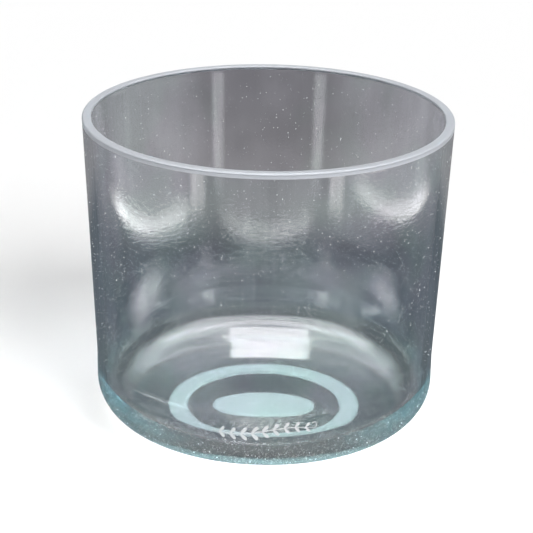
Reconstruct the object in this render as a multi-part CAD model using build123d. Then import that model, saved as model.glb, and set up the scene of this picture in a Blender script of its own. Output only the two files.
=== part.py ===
from build123d import *
from math import asin, cos, degrees, radians, sin
import os

# A tall bowl of fused quartz that stands on its own: a gently rounded base with a full heel, a
# slightly flared side wall fused on top of it, a lip ground flat, and a foot ring and an oval
# centre pad ground flat on the underside. Every zone but the pad is turned about Z, and each
# meets the next face to face. Millimetres, +Z up, origin on the axis in the plane it stands on.

# Driving dimensions
RIM_DIAMETER = 203.0
BASE_DIAMETER = 190.0
HEIGHT = 178.6
WALL = 5.0

# The base reaches up to the fused seam
SEAM_HEIGHT = 42.5

# Inside of the base: flat middle, dish, then a corner that runs into the wall
FLOOR = 7.5
FLOOR_FLAT_RADIUS = 30.0
DISH_ANGLE = 12.0
CORNER_RADIUS = 20.0

# Outside of the base: flat middle, gentle rise, then the heel
LAND_HEIGHT = 0.6
UNDERSIDE_FLAT_RADIUS = 33.0
UNDERSIDE_ANGLE = 12.0
HEEL_RADIUS = 22.0

# Ground lip
LIP_HEIGHT = 2.8
LIP_OUTER_ROUND = 1.0
LIP_INNER_ROUND = 0.6

# Ground lands on the underside
LAND_CHAMFER = 0.25
FOOT_RING_INNER_RADIUS = 44.0
FOOT_RING_OUTER_RADIUS = 55.0
PAD_HALF_WIDTH = 29.0
PAD_HALF_DEPTH = 15.6

RIM_RADIUS = RIM_DIAMETER / 2
BASE_RADIUS = BASE_DIAMETER / 2
LIP_SEAM_HEIGHT = HEIGHT - LIP_HEIGHT

# The underside rises in an arc that runs tangent into the heel.
HEEL_CENTRE_RADIUS = BASE_RADIUS - HEEL_RADIUS
RISE_END = HEEL_CENTRE_RADIUS + HEEL_RADIUS * sin(radians(UNDERSIDE_ANGLE))
UNDERSIDE_RADIUS = (RISE_END - UNDERSIDE_FLAT_RADIUS) / sin(radians(UNDERSIDE_ANGLE))
UNDERSIDE_CENTRE = (UNDERSIDE_FLAT_RADIUS, LAND_HEIGHT + UNDERSIDE_RADIUS)
HEEL_CENTRE_HEIGHT = UNDERSIDE_CENTRE[1] - (UNDERSIDE_RADIUS - HEEL_RADIUS) * cos(radians(UNDERSIDE_ANGLE))
HEEL_CENTRE = (HEEL_CENTRE_RADIUS, HEEL_CENTRE_HEIGHT)

# The dish runs tangent into the inside corner, and that corner turns vertical below the seam.
DISH_END = BASE_RADIUS - WALL - CORNER_RADIUS * (1 - sin(radians(DISH_ANGLE)))
DISH_RADIUS = (DISH_END - FLOOR_FLAT_RADIUS) / sin(radians(DISH_ANGLE))
DISH_CENTRE = (FLOOR_FLAT_RADIUS, FLOOR + DISH_RADIUS)
CORNER_TOP = DISH_CENTRE[1] - (DISH_RADIUS - CORNER_RADIUS) * cos(radians(DISH_ANGLE))
CORNER_CENTRE = (BASE_RADIUS - WALL - CORNER_RADIUS, CORNER_TOP)


def wall_radius(height):
    """Outer radius of the flared wall at a height between the seam and the rim."""
    share = (height - SEAM_HEIGHT) / (HEIGHT - SEAM_HEIGHT)
    return BASE_RADIUS + share * (RIM_RADIUS - BASE_RADIUS)


def rise_angle(radius):
    """Direction of the underside's point at a radius, seen from the centre of its rising arc."""
    return degrees(asin((radius - UNDERSIDE_FLAT_RADIUS) / UNDERSIDE_RADIUS)) - 90


def turned(profile):
    """One solid of revolution about Z, from a closed profile drawn in the XZ plane."""
    return revolve(profile.sketch, Axis.Z)


def base():
    """Rounded bottom, its heel, and the first stretch of wall up to the fused seam."""
    with BuildSketch(Plane.XZ) as profile:
        with BuildLine():
            flat = Line((0, LAND_HEIGHT), (UNDERSIDE_FLAT_RADIUS, LAND_HEIGHT))
            CenterArc(UNDERSIDE_CENTRE, UNDERSIDE_RADIUS, -90, UNDERSIDE_ANGLE)
            heel = CenterArc(HEEL_CENTRE, HEEL_RADIUS, UNDERSIDE_ANGLE - 90, 90 - UNDERSIDE_ANGLE)
            outside = Line(heel @ 1, (BASE_RADIUS, SEAM_HEIGHT))
            seam = Line(outside @ 1, (BASE_RADIUS - WALL, SEAM_HEIGHT))
            Line(seam @ 1, (BASE_RADIUS - WALL, CORNER_TOP))
            CenterArc(CORNER_CENTRE, CORNER_RADIUS, 0, DISH_ANGLE - 90)
            dish = CenterArc(DISH_CENTRE, DISH_RADIUS, DISH_ANGLE - 90, -DISH_ANGLE)
            floor = Line(dish @ 1, (0, FLOOR))
            Line(floor @ 1, flat @ 0)
        make_face()
    return turned(profile)


def side_wall():
    """Flared tube from the fused seam up to the ground lip."""
    foot_radius = wall_radius(SEAM_HEIGHT)
    head_radius = wall_radius(LIP_SEAM_HEIGHT)
    with BuildSketch(Plane.XZ) as profile:
        with BuildLine():
            Polyline(
                (foot_radius - WALL, SEAM_HEIGHT),
                (foot_radius, SEAM_HEIGHT),
                (head_radius, LIP_SEAM_HEIGHT),
                (head_radius - WALL, LIP_SEAM_HEIGHT),
                close=True,
            )
        make_face()
    return turned(profile)


def ground_lip():
    """Band at the mouth, ground flat on top with both edges broken."""
    seam_radius = wall_radius(LIP_SEAM_HEIGHT)
    with BuildSketch(Plane.XZ) as profile:
        with BuildLine():
            Polyline(
                (seam_radius - WALL, LIP_SEAM_HEIGHT),
                (seam_radius, LIP_SEAM_HEIGHT),
                (RIM_RADIUS, HEIGHT),
                (RIM_RADIUS - WALL, HEIGHT),
                close=True,
            )
        make_face()
        top_corners = profile.vertices().group_by(Axis.Z)[-1].sort_by(Axis.X)
        fillet(top_corners[0], LIP_INNER_ROUND)
        top_corners = profile.vertices().group_by(Axis.Z)[-1].sort_by(Axis.X)
        fillet(top_corners[-1], LIP_OUTER_ROUND)
    return turned(profile)


def foot_ring():
    """Flat ground land that the bowl stands on, grown onto the rising underside."""
    start = rise_angle(FOOT_RING_INNER_RADIUS)
    sweep = rise_angle(FOOT_RING_OUTER_RADIUS) - start
    with BuildSketch(Plane.XZ) as profile:
        with BuildLine():
            seat = CenterArc(UNDERSIDE_CENTRE, UNDERSIDE_RADIUS, start, sweep)
            Polyline(
                seat @ 1,
                (FOOT_RING_OUTER_RADIUS, 0),
                (FOOT_RING_INNER_RADIUS, 0),
                seat @ 0,
            )
        make_face()
        chamfer(profile.vertices().group_by(Axis.Z)[0], LAND_CHAMFER)
    return turned(profile)


def centre_pad():
    """Flat ground oval in the middle of the underside, level with the foot ring."""
    pad = extrude(Ellipse(PAD_HALF_WIDTH, PAD_HALF_DEPTH), LAND_HEIGHT)
    return chamfer(pad.edges().group_by(Axis.Z)[0], LAND_CHAMFER)


os.makedirs("parts", exist_ok=True)
for zone in (base, side_wall, ground_lip, foot_ring, centre_pad):
    export_step(zone(), f"parts/{zone.__name__}.step")
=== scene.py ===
import math
import random
from types import SimpleNamespace

import bmesh
import bpy
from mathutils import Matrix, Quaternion, Vector, noise


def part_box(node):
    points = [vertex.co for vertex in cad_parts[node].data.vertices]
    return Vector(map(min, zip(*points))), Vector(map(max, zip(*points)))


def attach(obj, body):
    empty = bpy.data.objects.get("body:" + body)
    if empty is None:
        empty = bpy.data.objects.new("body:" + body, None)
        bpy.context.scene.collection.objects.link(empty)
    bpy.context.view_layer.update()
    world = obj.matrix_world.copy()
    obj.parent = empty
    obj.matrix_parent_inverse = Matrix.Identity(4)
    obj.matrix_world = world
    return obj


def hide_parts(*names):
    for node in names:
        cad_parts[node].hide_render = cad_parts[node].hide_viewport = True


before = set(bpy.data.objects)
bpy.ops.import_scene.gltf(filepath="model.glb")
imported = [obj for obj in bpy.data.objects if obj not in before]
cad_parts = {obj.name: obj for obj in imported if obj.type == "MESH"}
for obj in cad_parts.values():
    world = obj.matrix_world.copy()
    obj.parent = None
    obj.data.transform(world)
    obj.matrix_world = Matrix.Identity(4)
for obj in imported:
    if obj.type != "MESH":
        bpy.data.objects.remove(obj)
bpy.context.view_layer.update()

# ---------------------------------------------------------------------------------------------
# Dimensions, in metres. The frame gives the sizes that its boxes hold; the rest repeats the CAD.
# ---------------------------------------------------------------------------------------------
MM = 0.001
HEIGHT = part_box("ground_lip")[1][2]
LIP_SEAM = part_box("ground_lip")[0][2]
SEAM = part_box("side_wall")[0][2]
BASE_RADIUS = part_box("base")[1][0]
PAD_HALF_WIDTH, PAD_HALF_DEPTH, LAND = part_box("centre_pad")[1]
RING_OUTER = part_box("foot_ring")[1][0]
RING_INNER = 44.0 * MM
RIM_RADIUS = 101.5 * MM
WALL = 5.0 * MM
FLOOR = 7.5 * MM
FLOOR_FLAT = 30.0 * MM
DISH_ANGLE = math.radians(12)
CORNER_RADIUS = 20.0 * MM
UNDERSIDE_FLAT = 33.0 * MM
UNDERSIDE_ANGLE = math.radians(12)
HEEL_RADIUS = 22.0 * MM
LIP_OUTER_ROUND = 1.0 * MM
LIP_INNER_ROUND = 0.6 * MM

HEEL_CENTRE_R = BASE_RADIUS - HEEL_RADIUS
RISE_END = HEEL_CENTRE_R + HEEL_RADIUS * math.sin(UNDERSIDE_ANGLE)
RISE_RADIUS = (RISE_END - UNDERSIDE_FLAT) / math.sin(UNDERSIDE_ANGLE)
RISE_CENTRE_Z = LAND + RISE_RADIUS
HEEL_CENTRE_Z = RISE_CENTRE_Z - (RISE_RADIUS - HEEL_RADIUS) * math.cos(UNDERSIDE_ANGLE)
CORNER_CENTRE_R = BASE_RADIUS - WALL - CORNER_RADIUS
DISH_END = CORNER_CENTRE_R + CORNER_RADIUS * math.sin(DISH_ANGLE)
DISH_RADIUS = (DISH_END - FLOOR_FLAT) / math.sin(DISH_ANGLE)
CORNER_TOP = FLOOR + DISH_RADIUS - (DISH_RADIUS - CORNER_RADIUS) * math.cos(DISH_ANGLE)

SEGMENTS = 384
GRAIN_TOP = 33.0 * MM
GRAIN_FADE = 16.0 * MM
SWELL = 0.016 * MM
DRAW_MARK = 0.0015 * MM


def wall_radius(z):
    """Outer radius of the flared wall."""
    share = (z - SEAM) / (HEIGHT - SEAM)
    return BASE_RADIUS + share * (RIM_RADIUS - BASE_RADIUS)


def underside(radius):
    """Height of the rising underside at a radius."""
    return RISE_CENTRE_Z - math.sqrt(RISE_RADIUS ** 2 - max(0.0, radius - UNDERSIDE_FLAT) ** 2)


# ---------------------------------------------------------------------------------------------
# Profile of the whole vessel, from the middle of the inner floor over the lip to the middle of
# the underside. Every point carries the finish of its zone.
# ---------------------------------------------------------------------------------------------
def arc(centre_r, centre_z, radius, start, end, count):
    """Points along an arc, angles in degrees."""
    angles = [math.radians(start + (end - start) * i / count) for i in range(count + 1)]
    return [(centre_r + radius * math.cos(a), centre_z + radius * math.sin(a)) for a in angles]


def span(start, end, count):
    """Even values from start to end."""
    return [start + (end - start) * i / count for i in range(count + 1)]


def profile():
    """[(radius, height, zone)] with no point repeated."""
    dish = math.degrees(DISH_ANGLE)
    rise = math.degrees(UNDERSIDE_ANGLE)
    bevel = 0.25 * MM
    points = []

    def add(zone, pairs):
        for r, z in pairs:
            if not points or math.hypot(r - points[-1][0], z - points[-1][1]) > 0.02 * MM:
                points.append((r, z, zone))

    add("inside", [(r, FLOOR) for r in span(0.0, FLOOR_FLAT, 12)])
    add("inside", arc(FLOOR_FLAT, FLOOR + DISH_RADIUS, DISH_RADIUS, -90, dish - 90, 22))
    add("inside", arc(CORNER_CENTRE_R, CORNER_TOP, CORNER_RADIUS, dish - 90, 0, 22))
    add("inside", [(BASE_RADIUS - WALL, z) for z in span(CORNER_TOP, SEAM, 7)])
    top_inside = HEIGHT - LIP_INNER_ROUND
    add("inside", [(wall_radius(z) - WALL, z) for z in span(SEAM, top_inside - 0.4 * MM, 40)])
    add("lip", arc(RIM_RADIUS - WALL + LIP_INNER_ROUND, top_inside, LIP_INNER_ROUND, 180, 90, 5))
    flat = span(RIM_RADIUS - WALL + LIP_INNER_ROUND, RIM_RADIUS - LIP_OUTER_ROUND, 4)
    add("lip", [(r, HEIGHT) for r in flat])
    add("lip", arc(RIM_RADIUS - LIP_OUTER_ROUND, HEIGHT - LIP_OUTER_ROUND, LIP_OUTER_ROUND, 90, 0, 6))
    add("lip", [(wall_radius(z), z) for z in span(HEIGHT - LIP_OUTER_ROUND, LIP_SEAM, 3)])
    add("outside", [(wall_radius(z), z) for z in span(LIP_SEAM - 0.25 * MM, SEAM, 50)])
    add("heel", [(BASE_RADIUS, z) for z in span(SEAM, HEEL_CENTRE_Z, 8)])
    add("heel", arc(HEEL_CENTRE_R, HEEL_CENTRE_Z, HEEL_RADIUS, 0, rise - 90, 28))
    add("under", [(r, underside(r)) for r in span(RISE_END, RING_OUTER + bevel, 10)])
    add("land", [(RING_OUTER, underside(RING_OUTER)), (RING_OUTER, bevel), (RING_OUTER - bevel, 0.0)])
    add("land", [(r, 0.0) for r in span(RING_OUTER - bevel, RING_INNER + bevel, 4)])
    add("land", [(RING_INNER, bevel), (RING_INNER, underside(RING_INNER))])
    add("under", [(r, underside(r)) for r in span(RING_INNER - bevel, PAD_HALF_WIDTH + bevel, 8)])
    add("land", [(PAD_HALF_WIDTH, LAND), (PAD_HALF_WIDTH, bevel), (PAD_HALF_WIDTH - bevel, 0.0)])
    add("land", [(r, 0.0) for r in span(PAD_HALF_WIDTH - bevel, 0.0, 8)])
    return points


def zone_mask(zone, z):
    """(ground lip, ground land, grainy heel) of a point, each from 0 to 1."""
    grainy = min(1.0, max(0.0, (GRAIN_TOP - z) / GRAIN_FADE)) if zone in ("outside", "heel") else 0.0
    return (float(zone == "lip"), float(zone == "land"), grainy)


def pad_squeeze(radius):
    """How much a ring of the underside is squeezed front to back, so that the pad is an oval."""
    share = min(1.0, max(0.0, (radius - PAD_HALF_WIDTH) / (RING_INNER - 0.5 * MM - PAD_HALF_WIDTH)))
    return PAD_HALF_DEPTH / PAD_HALF_WIDTH * (1 - share) + share


def drawn_wave(radius, height, angle):
    """How far the fire-polished surface stands off its true form: slow swells and draw marks."""
    x, y = radius * math.cos(angle), radius * math.sin(angle)
    swell = noise.noise(Vector((x, y, height)) * 22.0)
    mark = noise.noise(Vector((x * 90.0, y * 90.0, height * 60.0 + 7.0)))
    return SWELL * swell + DRAW_MARK * mark


def bowl_mesh():
    """One closed skin, with the finish of each zone in three point attributes."""
    points = profile()
    first_under = next(i for i, point in enumerate(points) if point[2] == "under")
    rows = []
    vertices = []
    masks = []
    for index, (r, z, zone) in enumerate(points):
        wavy = zone in ("inside", "outside", "heel") and r > FLOOR_FLAT
        if r < 1e-9:
            rows.append([len(vertices)])
            vertices.append((0.0, 0.0, z))
            masks.append(zone_mask(zone, z))
            continue
        before = points[index - 1]
        after = points[index + 1]
        along = Vector((after[0] - before[0], after[1] - before[1])).normalized()
        outward = Vector((along.y, -along.x))
        oval = pad_squeeze(r) if index > first_under else 1.0
        row = []
        for step in range(SEGMENTS):
            angle = 2 * math.pi * step / SEGMENTS
            shift = drawn_wave(r, z, angle) if wavy else 0.0
            radius = r + outward.x * shift
            x, y = radius * math.cos(angle), radius * math.sin(angle) * oval
            height = z + outward.y * shift
            if oval < 1.0 and zone == "under":
                height = underside(math.hypot(x, y))
            row.append(len(vertices))
            vertices.append((x, y, height))
            masks.append(zone_mask(zone, z))
        rows.append(row)
    faces = []
    for row, following in zip(rows, rows[1:]):
        for step in range(SEGMENTS):
            ahead = (step + 1) % SEGMENTS
            if len(row) == 1:
                faces.append((row[0], following[step], following[ahead]))
            elif len(following) == 1:
                faces.append((row[ahead], row[step], following[0]))
            else:
                faces.append((row[step], following[step], following[ahead], row[ahead]))
    mesh = bpy.data.meshes.new("quartz_bowl")
    mesh.from_pydata(vertices, [], faces)
    for column, name in enumerate(("lip", "land", "heel")):
        layer = mesh.attributes.new(name, "FLOAT", "POINT")
        layer.data.foreach_set("value", [mask[column] for mask in masks])
    turned = bmesh.new()
    turned.from_mesh(mesh)
    bmesh.ops.recalc_face_normals(turned, faces=turned.faces)
    turned.to_mesh(mesh)
    turned.free()
    mesh.shade_smooth()
    return mesh


def show(name, mesh, material):
    """A mesh as an object that rides with the bowl."""
    mesh.materials.append(material)
    piece = bpy.data.objects.new(name, mesh)
    bpy.context.scene.collection.objects.link(piece)
    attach(piece, "root")
    return piece


# ---------------------------------------------------------------------------------------------
# Node helpers
# ---------------------------------------------------------------------------------------------
def put(tree, socket, value):
    """Links a socket, or sets it to a plain value."""
    if isinstance(value, bpy.types.NodeSocket):
        tree.links.new(value, socket)
    else:
        socket.default_value = value


def calc(tree, operation, *values):
    """A Math node."""
    node = tree.nodes.new("ShaderNodeMath")
    node.operation = operation
    for socket, value in zip(node.inputs, values):
        put(tree, socket, value)
    return node.outputs[0]


def ease(tree, value, low, high, start=0.0, end=1.0):
    """Goes smoothly from start to end while value goes from low to high."""
    node = tree.nodes.new("ShaderNodeMapRange")
    node.interpolation_type = "SMOOTHSTEP"
    for socket, setting in zip(node.inputs, (value, low, high, start, end)):
        put(tree, socket, setting)
    return node.outputs[0]


def blend(tree, kind, share, first, second):
    """A colour Mix node."""
    node = tree.nodes.new("ShaderNodeMix")
    node.data_type = "RGBA"
    node.blend_type = kind
    put(tree, node.inputs[0], share)
    put(tree, node.inputs[6], first)
    put(tree, node.inputs[7], second)
    return node.outputs[2]


def rgb(red, green, blue, level=1.0):
    """A colour for a socket."""
    return (red * level, green * level, blue * level, 1.0)


def cloud(tree, where, scale, detail=2.0):
    """A noise field from 0 to 1 round 0.5."""
    node = tree.nodes.new("ShaderNodeTexNoise")
    node.inputs["Scale"].default_value = scale
    node.inputs["Detail"].default_value = detail
    tree.links.new(where, node.inputs["Vector"])
    return node.outputs[0]


def attribute(tree, name):
    """A mask stored on the mesh."""
    node = tree.nodes.new("ShaderNodeAttribute")
    node.attribute_name = name
    return node.outputs["Fac"]


def new_material(name):
    """(material, tree, its Principled shader)."""
    material = bpy.data.materials.new(name)
    material.use_nodes = True
    tree = material.node_tree
    shader = next(n for n in tree.nodes if n.type == "BSDF_PRINCIPLED")
    return material, tree, shader


# ---------------------------------------------------------------------------------------------
# Materials
# ---------------------------------------------------------------------------------------------
def quartz_material():
    """Clear quartz with a blue-green body and a painted iridescent sheen in its colour, ground at the lip
    and the lands, grainy at the heel.
    """
    material, tree, shader = new_material("fused_quartz")
    where = tree.nodes.new("ShaderNodeTexCoord").outputs["Object"]
    lip = attribute(tree, "lip")
    land = attribute(tree, "land")
    heel = attribute(tree, "heel")

    # Painted sheen: random violet and green tints in the base colour stand in for the iridescent reflection
    # tints of the surface.
    painted_sheen = cloud(tree, where, 26.0, 1.0)
    violet, green = rgb(0.985, 0.965, 1.0), rgb(0.955, 0.99, 0.985)
    sheen_tint = blend(tree, "MIX", ease(tree, painted_sheen, 0.42, 0.62), violet, green)
    grain = cloud(tree, where, 900.0, 3.0)
    frost = calc(tree, "MULTIPLY", heel, ease(tree, grain, 0.50, 0.68, 0.0, 0.26))
    dusty = blend(tree, "MIX", heel, sheen_tint, rgb(0.66, 0.595, 0.58))
    colour = blend(tree, "MIX", lip, dusty, rgb(0.46, 0.48, 0.52))
    colour = blend(tree, "MIX", land, colour, rgb(0.40, 0.475, 0.475))
    tree.links.new(colour, shader.inputs["Base Color"])

    matte = calc(tree, "MULTIPLY_ADD", lip, 0.80, frost)
    matte = calc(tree, "MULTIPLY_ADD", land, 0.75, matte)
    tree.links.new(calc(tree, "SUBTRACT", 1.0, matte), shader.inputs["Transmission Weight"])
    rough = calc(tree, "MULTIPLY_ADD", lip, 0.45, 0.02)
    rough = calc(tree, "MULTIPLY_ADD", land, 0.50, rough)
    rough = calc(tree, "MULTIPLY_ADD", frost, 0.40, rough)
    tree.links.new(rough, shader.inputs["Roughness"])
    shader.inputs["IOR"].default_value = 1.458

    ripple = cloud(tree, where, 560.0, 2.0)
    crumbs = calc(tree, "MULTIPLY", heel, grain)
    relief = calc(tree, "MULTIPLY_ADD", crumbs, 20.0, ripple)
    bump = tree.nodes.new("ShaderNodeBump")
    bump.inputs["Strength"].default_value = 0.16
    bump.inputs["Distance"].default_value = 0.045 * MM
    tree.links.new(relief, bump.inputs["Height"])
    tree.links.new(bump.outputs[0], shader.inputs["Normal"])

    body = tree.nodes.new("ShaderNodeVolumeAbsorption")
    body.inputs["Color"].default_value = rgb(0.16, 0.78, 0.875)
    body.inputs["Density"].default_value = 6.2
    output = next(n for n in tree.nodes if n.type == "OUTPUT_MATERIAL")
    tree.links.new(body.outputs[0], output.inputs["Volume"])
    return material


def plain_material(name, colour, roughness):
    """One colour and one gloss."""
    material, tree, shader = new_material(name)
    shader.inputs["Base Color"].default_value = colour
    shader.inputs["Roughness"].default_value = roughness
    return material


# ---------------------------------------------------------------------------------------------
# The bowl
# ---------------------------------------------------------------------------------------------
bowl = show("quartz_bowl", bowl_mesh(), quartz_material())
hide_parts("base", "side_wall", "ground_lip", "foot_ring", "centre_pad")


# ---------------------------------------------------------------------------------------------
# Seeds: tiny gas bubbles and grains that break both faces of the wall, thickest at the heel
# ---------------------------------------------------------------------------------------------
def heel_radius(z):
    """Outer radius at any height."""
    if z >= HEEL_CENTRE_Z:
        return wall_radius(max(z, SEAM))
    return HEEL_CENTRE_R + math.sqrt(max(0.0, HEEL_RADIUS ** 2 - (HEEL_CENTRE_Z - z) ** 2))


def unit_speck():
    """(vertices, faces) of a low ball."""
    ball = bmesh.new()
    bmesh.ops.create_icosphere(ball, subdivisions=1, radius=1.0)
    vertices = [vertex.co.copy() for vertex in ball.verts]
    faces = [tuple(vertex.index for vertex in face.verts) for face in ball.faces]
    ball.free()
    return vertices, faces


def seeds_mesh(count, low, high, depth, smallest, spread, seed):
    """Specks scattered between two heights, at a depth in from the outer face."""
    chance = random.Random(seed)
    ball, corners = unit_speck()
    vertices = []
    faces = []
    for _ in range(count):
        angle = chance.uniform(0, 2 * math.pi)
        z = chance.uniform(low, high)
        radius = heel_radius(z) - depth
        size = smallest + spread * chance.random() ** 4
        tall = chance.uniform(0.8, 1.5)
        place = Vector((radius * math.cos(angle), radius * math.sin(angle), z))
        start = len(vertices)
        vertices.extend(place + Vector((size * v.x, size * v.y, size * tall * v.z)) for v in ball)
        faces.extend(tuple(start + corner for corner in face) for face in corners)
    mesh = bpy.data.meshes.new("seeds")
    mesh.from_pydata(vertices, [], faces)
    mesh.shade_smooth()
    return mesh


speck_white = plain_material("seed_white", rgb(0.70, 0.71, 0.72), 0.35)
for name, count, low, high, depth, smallest, spread, seed in (
    ("seeds_outer_wall", 1500, 0.030, 0.174, 0.0, 0.12 * MM, 0.18 * MM, 11),
    ("seeds_inner_wall", 1700, 0.046, 0.174, WALL, 0.13 * MM, 0.20 * MM, 12),
    ("seeds_heel", 900, 0.008, 0.030, 0.0, 0.12 * MM, 0.24 * MM, 13),
):
    seeds = show(name, seeds_mesh(count, low, high, depth, smallest, spread, seed), speck_white)


# ---------------------------------------------------------------------------------------------
# Etched sprig, low on the front
# ---------------------------------------------------------------------------------------------
SPRIG_HEIGHT = 33.0 * MM
ETCH_DEPTH = 0.10 * MM


def on_wall(u, v, depth):
    """A point of the sprig, u along the wall and v up from the sprig's middle."""
    angle = u / BASE_RADIUS - math.pi / 2
    radius = BASE_RADIUS + depth
    return (radius * math.cos(angle), radius * math.sin(angle), SPRIG_HEIGHT + v)


def stroke(line, widths):
    """(vertices, faces) of one etched line with square ends."""
    vertices = []
    for index, (u, v) in enumerate(line):
        before = line[max(index - 1, 0)]
        after = line[min(index + 1, len(line) - 1)]
        along = Vector((after[0] - before[0], after[1] - before[1])).normalized()
        across = Vector((-along.y, along.x)) * widths[index] / 2
        for side in (1, -1):
            for depth in (ETCH_DEPTH, -ETCH_DEPTH):
                vertices.append(on_wall(u + side * across.x, v + side * across.y, depth))
    faces = []
    for a in range(0, 4 * (len(line) - 1), 4):
        b = a + 4
        faces += [(a, b, b + 2, a + 2), (a + 1, a + 3, b + 3, b + 1)]
        faces += [(a, a + 1, b + 1, b), (a + 2, b + 2, b + 3, a + 3)]
    end = 4 * (len(line) - 1)
    faces += [(0, 2, 3, 1), (end, end + 1, end + 3, end + 2)]
    return vertices, faces


def leaf(outline):
    """(vertices, faces) of one etched leaf."""
    count = len(outline)
    vertices = [on_wall(u, v, depth) for depth in (ETCH_DEPTH, -ETCH_DEPTH) for u, v in outline]
    faces = [tuple(range(count)), tuple(reversed(range(count, 2 * count)))]
    for index in range(count):
        ahead = (index + 1) % count
        faces.append((index, count + index, count + ahead, ahead))
    return vertices, faces


def stem(u):
    """Height of the sprig's stem along the wall."""
    return 1.6 * MM * math.sin(u / (9.0 * MM)) + 0.03 * u


def sprig_mesh():
    """A wavy stem with pairs of slim leaves and a curled tip."""
    vertices = []
    faces = []

    def draw(points, corners):
        start = len(vertices)
        vertices.extend(points)
        faces.extend([tuple(start + corner for corner in face) for face in corners])

    reach = 27.0 * MM
    line = [(u, stem(u)) for u in span(-reach, reach, 60)]
    draw(*stroke(line, [0.55 * MM * (1.1 - 0.5 * abs(index / 30 - 1)) for index in range(61)]))
    pairs = 9
    for index in range(pairs):
        u = -reach + (index + 0.6) * 2 * reach / (pairs + 0.4)
        length = (5.0 - 1.6 * abs(index - 3) / 5) * MM
        for side in (1, -1):
            tilt = side * math.radians(46) + 0.03
            outline = []
            for turn in span(0.0, 2 * math.pi, 24)[:-1]:
                forward = 0.2 * MM + length * (1 - math.cos(turn)) / 2
                sideways = 0.19 * length * math.sin(turn) * (1 - 0.35 * math.cos(turn))
                outline.append((u + forward * math.cos(tilt) - sideways * math.sin(tilt),
                                stem(u) + forward * math.sin(tilt) + sideways * math.cos(tilt)))
            draw(*leaf(outline))
    curl = []
    for share in span(0.0, 1.0, 24):
        turn = -math.pi / 2 + share * 4.2
        size = 2.2 * MM * (1 - 0.62 * share)
        curl.append((reach + size * math.cos(turn), stem(reach) + 2.2 * MM + size * math.sin(turn)))
    draw(*stroke(curl, [0.42 * MM] * len(curl)))
    mesh = bpy.data.meshes.new("etched_sprig")
    mesh.from_pydata(vertices, [], faces)
    tidy = bmesh.new()
    tidy.from_mesh(mesh)
    bmesh.ops.recalc_face_normals(tidy, faces=tidy.faces)
    tidy.to_mesh(mesh)
    tidy.free()
    return mesh


sprig = show("etched_sprig", sprig_mesh(), plain_material("etched", rgb(0.50, 0.52, 0.53), 0.6))


# ---------------------------------------------------------------------------------------------
# Staging: floor, light, surroundings
# ---------------------------------------------------------------------------------------------
def floor_plane():
    """Plain pale floor. The quartz itself mirrors and shows the painted surroundings instead."""
    mesh = bpy.data.meshes.new("floor")
    half = 6.0
    corners = [(-half, -half, 0), (half, -half, 0), (half, half, 0), (-half, half, 0)]
    mesh.from_pydata(corners, [], [(0, 1, 2, 3)])
    paint = plain_material("floor", rgb(0.9, 0.9, 0.9), 1.0)
    paint.node_tree.nodes["Principled BSDF"].inputs["Specular IOR Level"].default_value = 0.0
    mesh.materials.append(paint)
    floor = bpy.data.objects.new("floor", mesh)
    floor.location.z = -0.5 * MM
    floor.visible_glossy = False
    floor.visible_transmission = False
    return floor


def key_light():
    """Broad soft light from the front right, which only matte surfaces see."""
    lamp = bpy.data.lights.new("key", "SUN")
    lamp.angle = math.radians(30)
    lamp.energy = 2.7
    light = bpy.data.objects.new("key", lamp)
    azimuth, elevation = math.radians(34), math.radians(38)
    direction = Vector((math.sin(azimuth) * math.cos(elevation), -math.cos(azimuth) * math.cos(elevation),
                        math.sin(elevation)))
    light.location = direction * 2.0
    light.rotation_mode = "QUATERNION"
    light.rotation_quaternion = direction.to_track_quat("Z", "Y")
    light.visible_camera = False
    light.visible_glossy = False
    light.visible_transmission = False
    return light


for staged in (floor_plane(), key_light()):
    bpy.context.scene.collection.objects.link(staged)


DEGREES = 180 / math.pi
SKY_FOR_MATTE = 0.58
BACK_OF_SKY = rgb(0.022, 0.023, 0.026)
HORIZON_STOPS = [
    # elevation, colour
    (-90.0, rgb(0.25, 0.27, 0.28)),
    (-45.0, rgb(0.16, 0.185, 0.195)),
    (-28.0, rgb(0.112, 0.135, 0.142)),
    (-25.0, rgb(0.105, 0.126, 0.136)),
    (-23.2, rgb(0.092, 0.110, 0.128)),
    (-20.9, rgb(0.085, 0.099, 0.112)),
    (-19.8, rgb(0.25, 0.245, 0.250)),
    (-18.5, rgb(0.25, 0.245, 0.252)),
    (-16.0, rgb(0.225, 0.222, 0.236)),
    (10.0, rgb(0.100, 0.105, 0.110)),
    (40.0, rgb(0.25, 0.25, 0.26)),
    (90.0, rgb(0.50, 0.50, 0.50)),
]
LIT_FIELDS = (
    # azimuth, half width, lower edge, level out to this side angle, rise beyond it, brightness
    (-82.0, 30.0, -24.88, 60.0, 3.35 / 63 ** 2, 7.0),
    (0.0, 26.0, -26.1, 0.0, 0.6 / 28 ** 2, 4.6),
    (88.0, 31.0, -24.0, 70.0, 2.7 / 56 ** 2, 4.8),
)
FAINT_PATCHES = (
    # azimuth, half width, elevation, half height, brightness
    (-85.0, 12.0, -26.2, 0.55, 2.2),
    (85.0, 9.0, -26.0, 0.35, 1.2),
)


def within(tree, value, centre, half, soft):
    """1 inside centre ± half, fading to 0 over soft."""
    off = calc(tree, "ABSOLUTE", calc(tree, "SUBTRACT", value, centre))
    return ease(tree, off, half + soft / 2, half - soft / 2)


def both(tree, first, second):
    """Where two masks overlap."""
    return calc(tree, "MULTIPLY", first, second)


def glow(tree, light, mask, colour):
    """The light so far with a lamp added to it."""
    return blend(tree, "ADD", mask, light, colour)


def length_of(tree, first, second):
    """Square root of the sum of two squares."""
    squares = [calc(tree, "MULTIPLY", value, value) for value in (first, second)]
    return calc(tree, "SQRT", calc(tree, "ADD", *squares))


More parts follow.
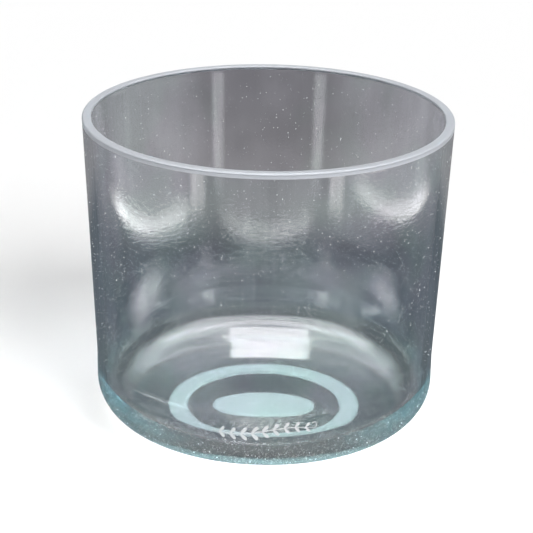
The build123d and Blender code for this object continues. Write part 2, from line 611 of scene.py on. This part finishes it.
def sky_angles(tree):
    """The direction of a ray as angles in degrees.

    azimuth counts from the side the camera is on and side is its size, elevation counts from the
    horizon, over counts from the horizon behind the bowl up over the top to the one on the camera's
    side, and across is the angle to the left or right of the plane that over turns in.
    """
    direction = tree.nodes.new("ShaderNodeTexCoord").outputs["Generated"]
    split = tree.nodes.new("ShaderNodeSeparateXYZ")
    tree.links.new(direction, split.inputs[0])
    x, y, z = split.outputs
    azimuth = calc(tree, "MULTIPLY", calc(tree, "ARCTAN2", x, calc(tree, "MULTIPLY", y, -1.0)), DEGREES)
    return SimpleNamespace(
        direction=direction,
        azimuth=azimuth,
        side=calc(tree, "ABSOLUTE", azimuth),
        elevation=calc(tree, "MULTIPLY", calc(tree, "ARCSINE", z), DEGREES),
        over=calc(tree, "MULTIPLY", calc(tree, "ARCTAN2", z, y), DEGREES),
        across=calc(tree, "MULTIPLY", calc(tree, "ARCTAN2", x, length_of(tree, y, z)), DEGREES),
    )


def unlit_room(tree, sky):
    """Dim surroundings by elevation, a little lighter behind the bowl."""
    ramp = tree.nodes.new("ShaderNodeValToRGB")
    tree.links.new(calc(tree, "MULTIPLY_ADD", sky.elevation, 1 / 180, 0.5), ramp.inputs[0])
    elements = ramp.color_ramp.elements
    elements[0].position = 0.0
    elements[0].color = HORIZON_STOPS[0][1]
    elements[1].position = 1.0
    elements[1].color = HORIZON_STOPS[-1][1]
    for place, colour in HORIZON_STOPS[1:-1]:
        elements.new(place / 180 + 0.5).color = colour
    return glow(tree, ramp.outputs[0], within(tree, sky.side, 150.0, 22.0, 9.0), BACK_OF_SKY)


def lit_field(tree, light, sky, centre, half, low, level_to, bend, level):
    """A field that is bright along its lower edge, which bows up toward the sides."""
    beyond = calc(tree, "MAXIMUM", calc(tree, "SUBTRACT", sky.side, level_to), 0.0)
    bow = calc(tree, "MULTIPLY", calc(tree, "MULTIPLY", beyond, beyond), bend)
    above = calc(tree, "SUBTRACT", calc(tree, "SUBTRACT", sky.elevation, bow), low)
    here = within(tree, calc(tree, "SUBTRACT", sky.azimuth, centre), 0.0, half, 16.0)
    edge = both(tree, here, ease(tree, above, -0.10, 0.08))
    light = glow(tree, light, both(tree, edge, ease(tree, above, 0.75, 0.0)), rgb(1.0, 0.99, 0.98, level))
    faint = rgb(1.0, 0.99, 0.98, 0.16 * level)
    return glow(tree, light, both(tree, edge, ease(tree, above, 3.5, 0.0)), faint)


def near_wall_lamps(tree, light, sky):
    """What the wall on the camera's side mirrors: two strips, bowed fields, faint light lower down."""
    strips = both(tree, within(tree, sky.side, 44.0, 4.5, 3.0), within(tree, sky.elevation, -23.2, 1.6, 0.8))
    light = glow(tree, light, strips, rgb(1.0, 0.96, 0.95, 3.2))
    for field in LIT_FIELDS:
        light = lit_field(tree, light, sky, *field)
    broad = both(tree, within(tree, sky.side, 0.0, 66.0, 24.0), within(tree, sky.elevation, -27.4, 0.9, 0.9))
    light = glow(tree, light, broad, rgb(0.96, 1.0, 1.0, 1.0))
    for centre, half, height, tall, level in FAINT_PATCHES:
        beside = within(tree, sky.azimuth, centre, half, 14.0)
        patch = both(tree, beside, within(tree, sky.elevation, height, tall, 0.7))
        light = glow(tree, light, patch, rgb(0.98, 1.0, 1.0, level))
    return light


def far_wall_lamps(tree, light, sky):
    """What the far wall mirrors: two strips, and paler sides."""
    strips = both(tree, within(tree, sky.side, 34.5, 3.6, 4.0), within(tree, sky.elevation, -11.5, 2.2, 1.6))
    light = glow(tree, light, strips, rgb(1.0, 0.98, 0.97, 2.6))
    low = within(tree, sky.elevation, -12.5, 4.0, 2.0)
    sides = both(tree, within(tree, sky.side, 92.0, 40.0, 24.0), low)
    return glow(tree, light, sides, rgb(0.95, 0.98, 1.0, 0.85))


def softbox(tree, light, sky):
    """Overhead softbox, whose half width grows toward the camera's side."""
    narrow = calc(tree, "MULTIPLY_ADD", sky.over, 0.143, -3.94)
    wide = calc(tree, "MULTIPLY_ADD", sky.over, 0.2886, -10.79)
    half_width = calc(tree, "MAXIMUM", narrow, wide)
    middle = calc(tree, "MULTIPLY_ADD", sky.over, -0.026, 0.78)
    off = calc(tree, "ABSOLUTE", calc(tree, "SUBTRACT", sky.across, middle))
    inside = ease(tree, calc(tree, "SUBTRACT", off, half_width), 0.25, -0.25)
    box = both(tree, inside, within(tree, sky.over, 74.5, 36.0, 1.2))
    return glow(tree, light, box, rgb(1.0, 0.99, 0.95, 10.5))


def dome(tree, light, sky):
    """A paler dome round the softbox, with a bright rim over its half on the camera's side."""
    sideways = calc(tree, "MULTIPLY", sky.across, 1 / 62)
    upward = calc(tree, "MULTIPLY_ADD", sky.over, 1 / 90, -60 / 90)
    reach = length_of(tree, sideways, upward)
    inner = both(tree, ease(tree, reach, 1.10, 0.80), ease(tree, sky.over, 30.0, 46.0))
    light = glow(tree, light, inner, rgb(0.96, 0.98, 1.0, 2.7))
    rim = both(tree, within(tree, reach, 0.98, 0.26, 0.22), within(tree, sky.across, 0.0, 60.0, 26.0))
    upper = both(tree, ease(tree, sky.over, 60.0, 80.0), ease(tree, sky.over, 160.0, 148.0))
    return glow(tree, light, both(tree, rim, upper), rgb(1.0, 0.99, 0.97, 9.8))


def smudged(tree, light, sky):
    """The light with slow, faint unevenness in it."""
    node = tree.nodes.new("ShaderNodeVectorMath")
    node.operation = "SCALE"
    tree.links.new(light, node.inputs[0])
    haze = cloud(tree, sky.direction, 22.0, 3.0)
    tree.links.new(ease(tree, haze, 0.25, 0.75, 0.78, 1.22), node.inputs["Scale"])
    return node.outputs[0]


def surroundings():
    """White backdrop for the camera, an even sky for matte surfaces, and a painted studio for the quartz.

    The lamps show by reflection and light the matte zones, and are hidden from rays that only pass
    straight through the quartz, so that they don't glare through it.
    """
    world = bpy.data.worlds.new("studio")
    bpy.context.scene.world = world
    world.use_nodes = True
    world.cycles.sampling_method = "NONE"
    tree = world.node_tree
    tree.nodes.clear()
    sky = sky_angles(tree)
    unlit = unlit_room(tree, sky)
    lit = unlit
    for lamps in (near_wall_lamps, far_wall_lamps, softbox, dome):
        lit = lamps(tree, lit, sky)
    path = tree.nodes.new("ShaderNodeLightPath")
    bounced = calc(tree, "ADD", path.outputs["Glossy Depth"], path.outputs["Diffuse Depth"])
    studio = smudged(tree, blend(tree, "MIX", calc(tree, "GREATER_THAN", bounced, 0.5), unlit, lit), sky)
    seen = blend(tree, "MIX", path.outputs["Is Diffuse Ray"], studio, rgb(1.0, 1.0, 1.0, SKY_FOR_MATTE))
    seen = blend(tree, "MIX", path.outputs["Is Camera Ray"], seen, rgb(1.0, 1.0, 1.0))
    background = tree.nodes.new("ShaderNodeBackground")
    tree.links.new(seen, background.inputs["Color"])
    output = tree.nodes.new("ShaderNodeOutputWorld")
    tree.links.new(background.outputs[0], output.inputs["Surface"])


surroundings()


# ---------------------------------------------------------------------------------------------
# Camera
# ---------------------------------------------------------------------------------------------
def camera():
    """Long lens, a little above the rim, tilted down on the bowl."""
    lens = bpy.data.cameras.new("camera")
    lens.sensor_width = 36.0
    lens.lens = 135.1
    view = bpy.data.objects.new("camera", lens)
    bpy.context.scene.collection.objects.link(view)
    pitch = 0.373
    roll = 0.0171
    distance = 1.1230
    aim = Vector((0.0003, 0.0, 0.0894))
    forward = Vector((0.0, math.cos(pitch), -math.sin(pitch)))
    view.location = aim - forward * distance
    view.rotation_mode = "QUATERNION"
    view.rotation_quaternion = forward.to_track_quat("-Z", "Y") @ Quaternion((0, 0, 1), roll)
    bpy.context.scene.camera = view


camera()
scene = bpy.context.scene
scene.view_settings.view_transform = "Standard"
scene.cycles.max_bounces = 24
scene.cycles.transmission_bounces = 24
scene.cycles.glossy_bounces = 16
scene.cycles.sample_clamp_indirect = 0.0
scene.cycles.use_denoising = True
